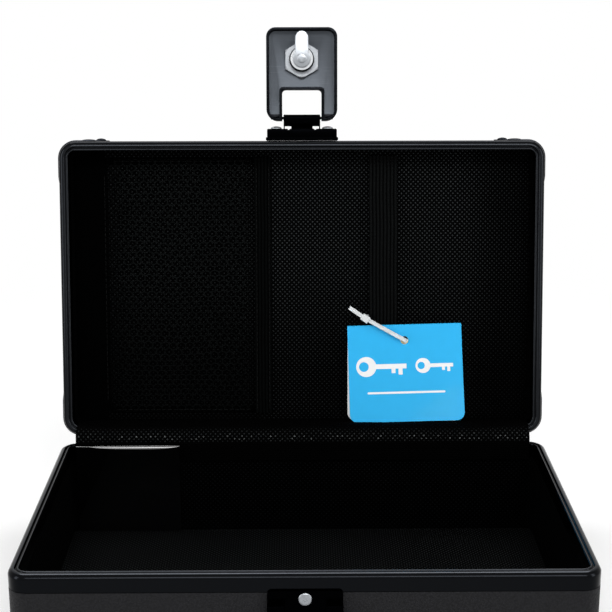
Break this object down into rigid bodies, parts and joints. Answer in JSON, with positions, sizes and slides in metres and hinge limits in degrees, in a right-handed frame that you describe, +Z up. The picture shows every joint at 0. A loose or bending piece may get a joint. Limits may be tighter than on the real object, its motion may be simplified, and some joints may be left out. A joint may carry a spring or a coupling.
{
  "type": "locking pencil box",
  "caption": "Hard fabric-lined pencil box with a rear-hinged lid, pressed corner caps and a key-locked hasp; the lid holds a mesh pocket, an elastic strap and a key tag.",
  "frame": {"origin": "centre of the underside", "axes": "+Z up, +X to the right seen from the front, +Y towards the hinges"},
  "size_m": [0.2108, 0.1791, 0.2164],
  "materials": {
    "board": "black pebble-grained covering on board",
    "rim": "black enamelled rolled profile, satin",
    "lining": "black basket-weave fabric",
    "cap": "black enamelled pressed steel, satin",
    "steel": "dark nickel plate",
    "latch": "black nickel, satin",
    "brass": "bare brass key stock",
    "chrome": "polished",
    "net": "black knitted mesh",
    "elastic": "black ribbed elastic",
    "tag": "blue coated card, white inside",
    "nylon": "clear nylon",
    "card": "glossy black coated card"
  },
  "bodies": {
    "base": {"base_shell": "board", "base_rim": "rim", "base_wall_lining": "lining", "base_floor_lining": "lining", "base_cap_front_left": "cap", "base_cap_front_right": "cap", "base_cap_rear_left": "cap", "base_cap_rear_right": "cap", "hinge_base_leaf_left": "steel", "hinge_base_leaf_right": "steel", "hinge_pin_left": "steel", "hinge_pin_right": "steel", "hinge_base_rivet_left_1": "steel", "hinge_base_rivet_left_2": "steel", "hinge_base_rivet_right_1": "steel", "hinge_base_rivet_right_2": "steel", "hinge_cover": "lining", "strike_plate": "latch", "strike_rivet_upper": "steel", "strike_rivet_lower": "steel", "base_card": "card"},
    "lid": {"lid_shell": "board", "lid_rim": "rim", "lid_wall_lining": "lining", "lid_floor_lining": "lining", "lid_cap_front_left": "cap", "lid_cap_front_right": "cap", "lid_cap_rear_left": "cap", "lid_cap_rear_right": "cap", "hinge_lid_leaf_left": "steel", "hinge_lid_leaf_right": "steel", "hinge_lid_rivet_left_1": "steel", "hinge_lid_rivet_left_2": "steel", "hinge_lid_rivet_right_1": "steel", "hinge_lid_rivet_right_2": "steel", "latch_plate": "latch", "latch_knuckle": "latch", "latch_rivet_left": "steel", "latch_rivet_right": "steel", "hasp_pin": "steel", "mesh_pocket": "net", "pocket_binding": "elastic", "elastic_strap": "elastic", "key_tag": "tag", "key_main": "brass", "key_spare": "brass", "tag_tie": "nylon"},
    "hasp": {"hasp": "latch", "lock_barrel": "chrome", "lock_nut": "steel"},
    "plug": {"lock_plug": "chrome", "lock_cam": "steel", "cam_screw": "steel"}
  },
  "joints": [
    {"name": "lid_hinge", "type": "hinge", "parent": "base", "child": "lid", "pos_m": [0, 0.0655, 0.043], "axis": [1, 0, 0], "range_deg": [0, 100], "deforming": ["hinge_cover"]},
    {"name": "hasp_swing", "type": "hinge", "parent": "lid", "child": "hasp", "pos_m": [0, 0.09976, 0.178], "axis": [1, 0, 0], "range_deg": [-60, 90]},
    {"name": "lock_turn", "type": "hinge", "parent": "hasp", "child": "plug", "pos_m": [0, 0.1041, 0.20262], "axis": [0, 0.9848, -0.1736], "range_deg": [0, 90]}
  ]
}
